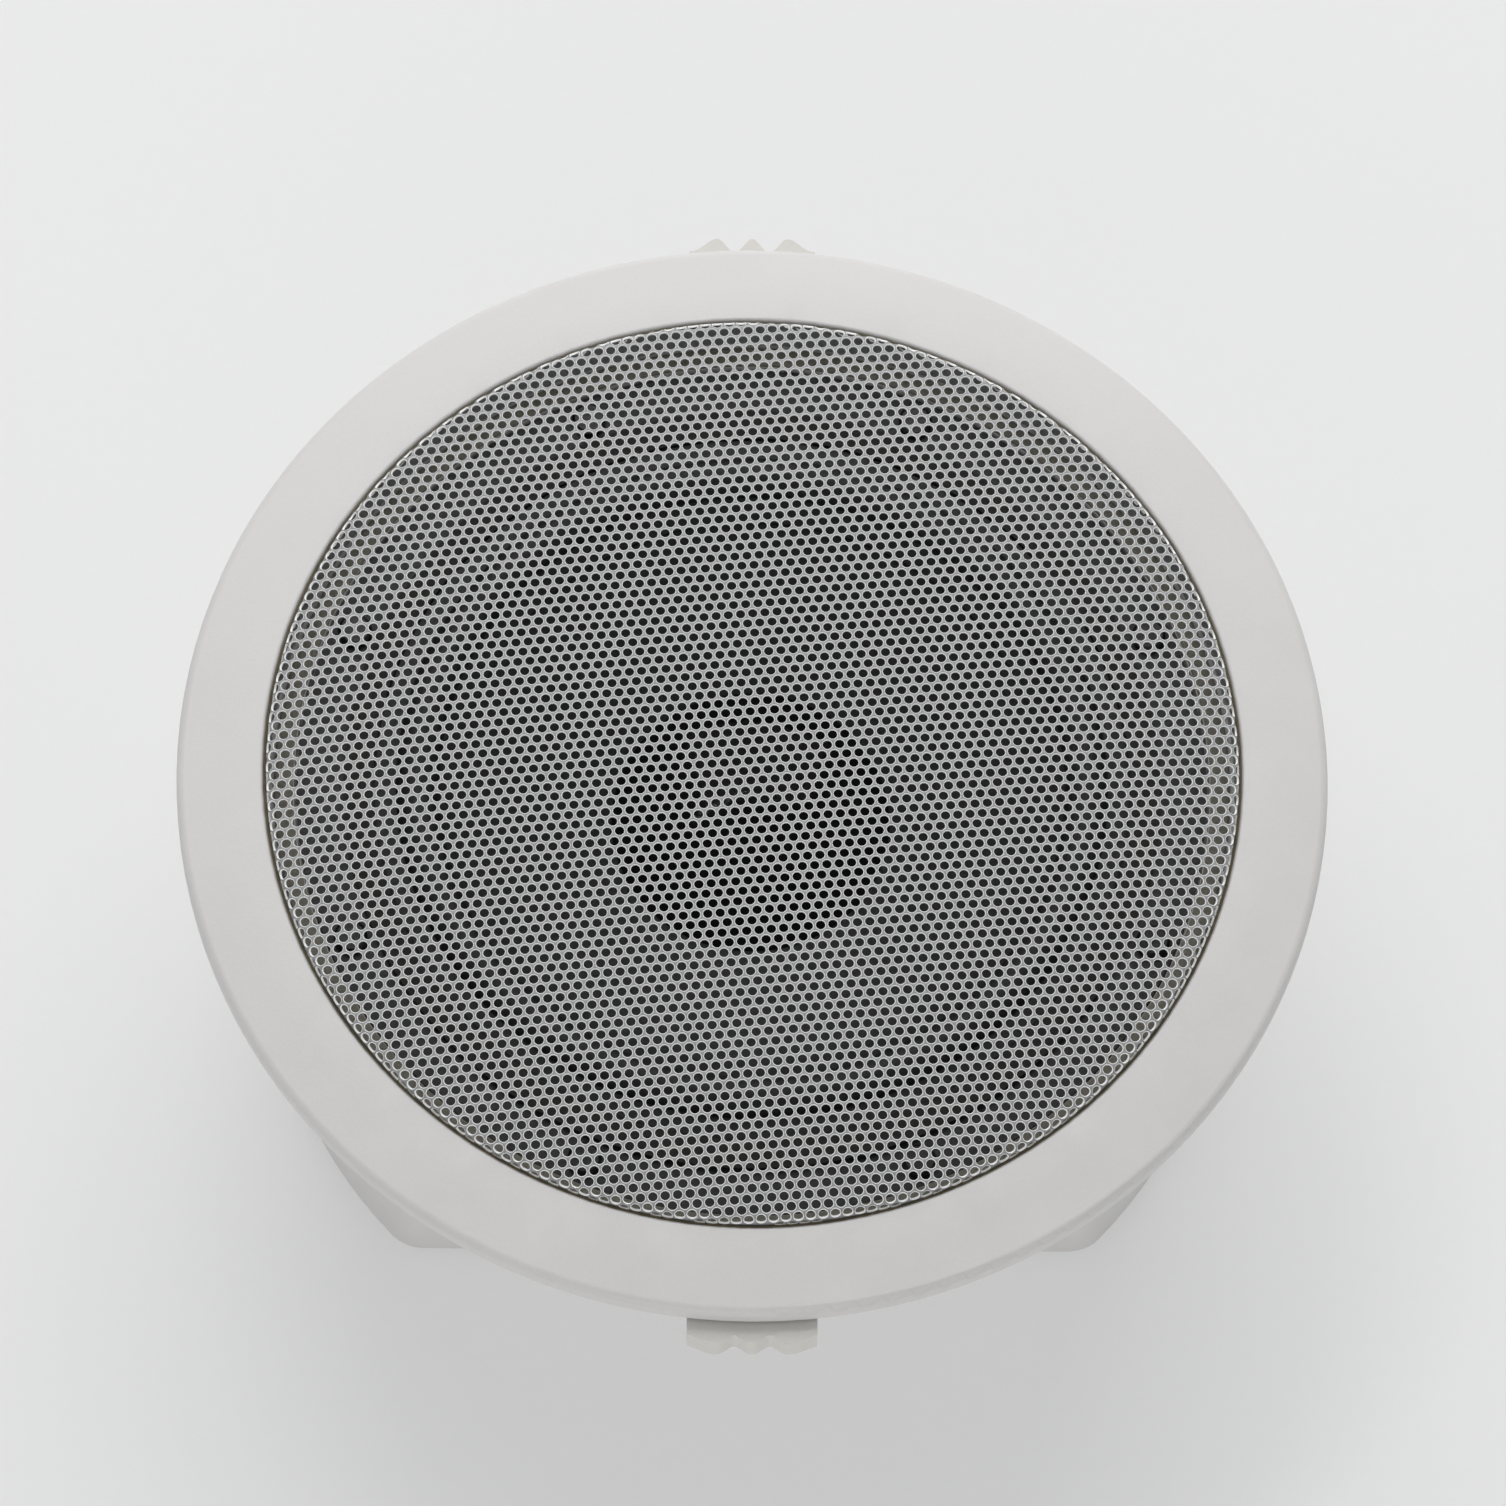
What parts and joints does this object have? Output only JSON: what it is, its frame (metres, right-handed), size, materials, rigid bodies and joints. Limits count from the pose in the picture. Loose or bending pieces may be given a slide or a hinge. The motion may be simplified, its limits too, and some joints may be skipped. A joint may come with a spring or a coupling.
{
  "type": "in-ceiling speaker",
  "caption": "Round in-ceiling loudspeaker with a white flange ring, domed perforated grille, tapered back box and spring clips that clamp the ceiling panel.",
  "frame": {"origin": "centre of the plane where the flange ring meets the ceiling panel", "axes": "+Z along the speaker's axis, out of the grille into the room; the clips lie on the Y axis"},
  "size_m": [0.23, 0.2384, 0.0985],
  "materials": {
    "white_moulding": "finely textured white ABS moulding",
    "grille_paint": "white powder-coated perforated steel sheet",
    "basket_paint": "black painted pressed steel",
    "gasket": "black foam and rubber sealing strip",
    "surround_rubber": "matt black rubber",
    "cone_skin": "dark coated paper cone",
    "cap_gloss": "glossy black dust cap",
    "coil_former": "aluminium former with copper winding",
    "spider_cloth": "resin-dipped woven cloth",
    "motor_steel": "zinc-plated steel",
    "ferrite": "dark grey sintered ferrite",
    "screw_steel": "zinc-plated steel",
    "spring_steel": "bright spring wire",
    "clip_nylon": "dull beige nylon",
    "terminal_plastic": "black polyamide terminal housing",
    "strip_board": "brown phenolic board",
    "lead_sleeve": "flexible insulated wire"
  },
  "bodies": {
    "housing": {"bezel_frame": "white_moulding", "back_box": "white_moulding", "grille": "grille_paint", "driver_basket": "basket_paint", "gasket_ring": "gasket", "surround": "surround_rubber", "spider": "spider_cloth", "top_plate": "motor_steel", "yoke": "motor_steel", "magnet": "ferrite", "driver_screws": "screw_steel", "box_screws": "screw_steel", "box_seal": "gasket", "clip_pin_upper": "screw_steel", "clip_pin_lower": "screw_steel", "clip_spring_upper": "spring_steel", "clip_spring_lower": "spring_steel", "terminal_block": "terminal_plastic", "terminal_strip": "strip_board", "speaker_leads": "lead_sleeve"},
    "cone_assembly": {"cone": "cone_skin", "dust_cap": "cap_gloss", "voice_coil": "coil_former"},
    "clip_upper": {"clip_arm_upper": "clip_nylon"},
    "clip_lower": {"clip_arm_lower": "clip_nylon"}
  },
  "joints": [
    {"name": "cone_travel", "type": "slide", "parent": "housing", "child": "cone_assembly", "axis": [0, 0, 1], "range_m": [-0.0025, 0.0025], "stiffness_N_per_m": 1500, "deforming": ["surround", "spider"]},
    {"name": "clip_upper_swing", "type": "hinge", "parent": "housing", "child": "clip_upper", "pos_m": [0, 0.088, -0.018], "axis": [-1, 0, 0], "range_deg": [0, 105], "stiffness_Nm_per_rad": 0.25, "springref_deg": -28.65, "deforming": ["clip_spring_upper"]},
    {"name": "clip_lower_swing", "type": "hinge", "parent": "housing", "child": "clip_lower", "pos_m": [0, -0.088, -0.018], "axis": [1, 0, 0], "range_deg": [0, 105], "stiffness_Nm_per_rad": 0.25, "springref_deg": -28.65, "deforming": ["clip_spring_lower"]}
  ]
}
